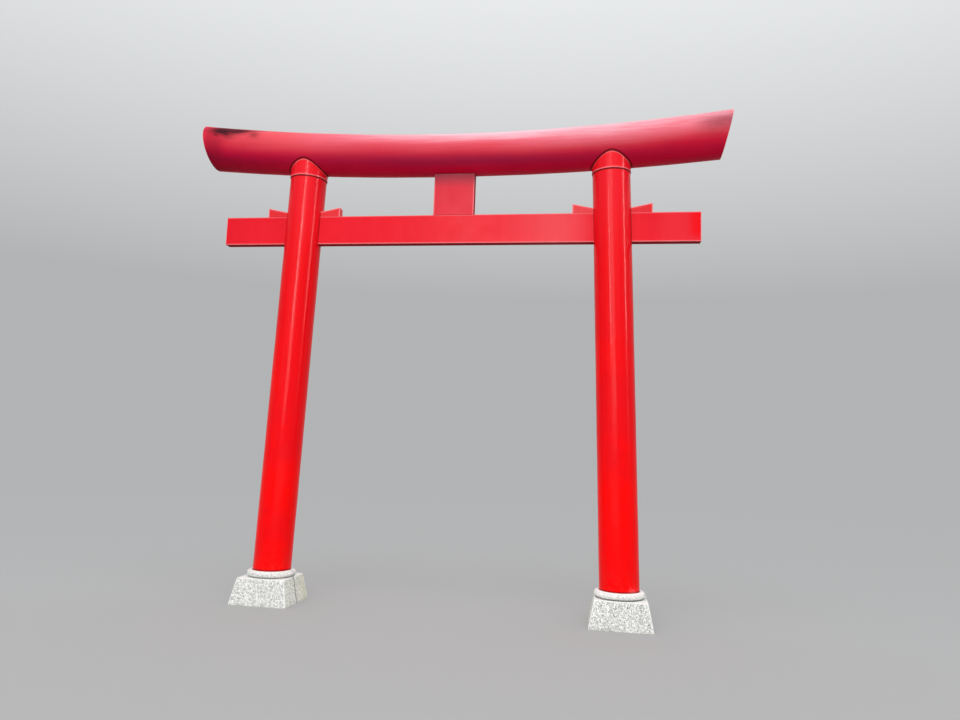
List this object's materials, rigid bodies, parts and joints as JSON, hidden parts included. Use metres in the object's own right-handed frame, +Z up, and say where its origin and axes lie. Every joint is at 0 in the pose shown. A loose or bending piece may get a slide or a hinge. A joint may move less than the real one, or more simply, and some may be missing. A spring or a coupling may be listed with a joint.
{
  "type": "torii gate",
  "caption": "Round-post shrine gate with a curved top rail, a tie beam wedged through the posts, a middle strut and split granite feet.",
  "frame": {"origin": "on the ground, midway between the two posts", "axes": "+X along the gate to the viewer's right, -Y towards the front, +Z up"},
  "size_m": [5.6002, 0.596, 5.049],
  "materials": {
    "red_paint": "gloss vermilion coat, lightly weathered",
    "rail_paint": "gloss crimson-red coat, weathered and sooty on top",
    "granite": "bush-hammered pale granite"
  },
  "bodies": {
    "root": {"left_pillar": "red_paint", "right_pillar": "red_paint", "left_sleeve": "red_paint", "right_sleeve": "red_paint", "kasagi": "rail_paint", "left_kasagi_cap": "rail_paint", "right_kasagi_cap": "rail_paint", "nuki": "red_paint", "left_nuki_cap": "red_paint", "right_nuki_cap": "red_paint", "gakuzuka": "rail_paint", "left_outer_wedge": "red_paint", "left_inner_wedge": "red_paint", "right_inner_wedge": "red_paint", "right_outer_wedge": "red_paint", "left_front_foot_stone": "granite", "left_back_foot_stone": "granite", "right_front_foot_stone": "granite", "right_back_foot_stone": "granite", "left_front_ring_stone": "granite", "left_back_ring_stone": "granite", "right_front_ring_stone": "granite", "right_back_ring_stone": "granite"}
  },
  "joints": []
}
